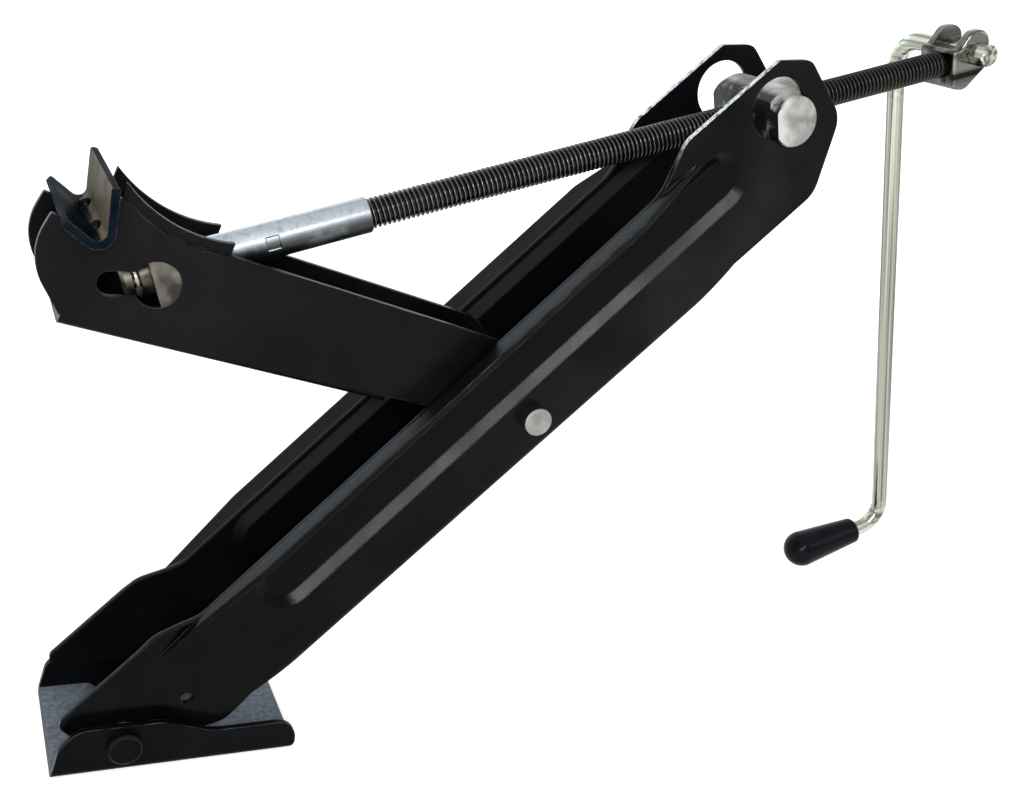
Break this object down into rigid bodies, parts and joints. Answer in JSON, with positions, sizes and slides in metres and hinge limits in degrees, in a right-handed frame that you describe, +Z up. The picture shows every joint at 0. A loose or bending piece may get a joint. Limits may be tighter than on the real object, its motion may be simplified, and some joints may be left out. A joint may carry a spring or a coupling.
{
  "type": "screw jack",
  "caption": "Half-scissor screw jack: a channel arm on a swinging foot, a shorter lift arm with a saddle pivoted in it, and a folding crank turning the screw between their ends.",
  "frame": {"origin": "centre of the foot's flat underside", "axes": "+Z up out of the floor, +X from the foot toward the crank, +Y across the channel arms"},
  "size_m": [0.5411, 0.0995, 0.3771],
  "materials": {
    "black_paint": "semi-gloss",
    "charcoal_paint": "satin",
    "bare_steel": "satin",
    "blue_zinc": "satin",
    "pale_casting": "as cast",
    "bearing_steel": "ground",
    "dark_phosphate": "oiled",
    "bright_zinc": "plated",
    "black_moulding": "satin"
  },
  "bodies": {
    "main_arm": {"main_arm": "black_paint", "lift_pivot_rivet": "bare_steel", "lift_pivot_spacer": "bare_steel", "lift_washer_near": "bare_steel", "lift_washer_far": "bare_steel"},
    "foot": {"foot_plate": "black_paint", "foot_pivot_rivet": "black_paint", "foot_washer_near": "bare_steel", "foot_washer_far": "bare_steel"},
    "lift": {"lift_arm": "charcoal_paint", "saddle": "blue_zinc"},
    "thrust": {"thrust_trunnion": "pale_casting", "thrust_race": "bearing_steel", "thrust_balls": "bearing_steel", "thrust_ball_cage": "bearing_steel"},
    "nut": {"trunnion_nut": "pale_casting"},
    "screw": {"lead_screw": "dark_phosphate", "screw_end_cap": "bearing_steel", "stop_sleeve": "bright_zinc", "crank_yoke": "bright_zinc"},
    "crank": {"crank_rod": "bright_zinc"},
    "grip": {"crank_grip": "black_moulding"}
  },
  "joints": [
    {"name": "foot_swing", "type": "hinge", "parent": "main_arm", "child": "foot", "pos_m": [-0.0243, 0, 0.0145], "axis": [0, 1, 0], "range_deg": [-14, 29]},
    {"name": "lift_swing", "type": "hinge", "parent": "main_arm", "child": "lift", "pos_m": [0.15958, 0, 0.17075], "axis": [0, 1, 0], "range_deg": [-42, 73]},
    {"name": "thrust_tilt", "type": "hinge", "parent": "lift", "child": "thrust", "pos_m": [-0.01912, 0, 0.22915], "axis": [0, 1, 0], "range_deg": [-37, 21.5]},
    {"name": "nut_tilt", "type": "hinge", "parent": "main_arm", "child": "nut", "pos_m": [0.26955, 0, 0.32323], "axis": [0, 1, 0], "range_deg": [-21.5, 37]},
    {"name": "screw_spin", "type": "hinge", "parent": "thrust", "child": "screw", "pos_m": [-0.01912, 0, 0.22915], "axis": [0.9508, 0, 0.3098], "continuous": true},
    {"name": "crank_fold", "type": "hinge", "parent": "screw", "child": "crank", "pos_m": [0.38311, 0, 0.36528], "axis": [0, 1, 0], "range_deg": [-180, 40]},
    {"name": "grip_spin", "type": "hinge", "parent": "crank", "child": "grip", "pos_m": [0.45413, 0.048, 0.05256], "axis": [0.9586, 0, 0.2849], "continuous": true}
  ],
  "couplings": [
    {"joint": "thrust_tilt", "follows": "lift_swing", "ratio": -0.5},
    {"joint": "nut_tilt", "follows": "lift_swing", "ratio": 0.5}
  ]
}
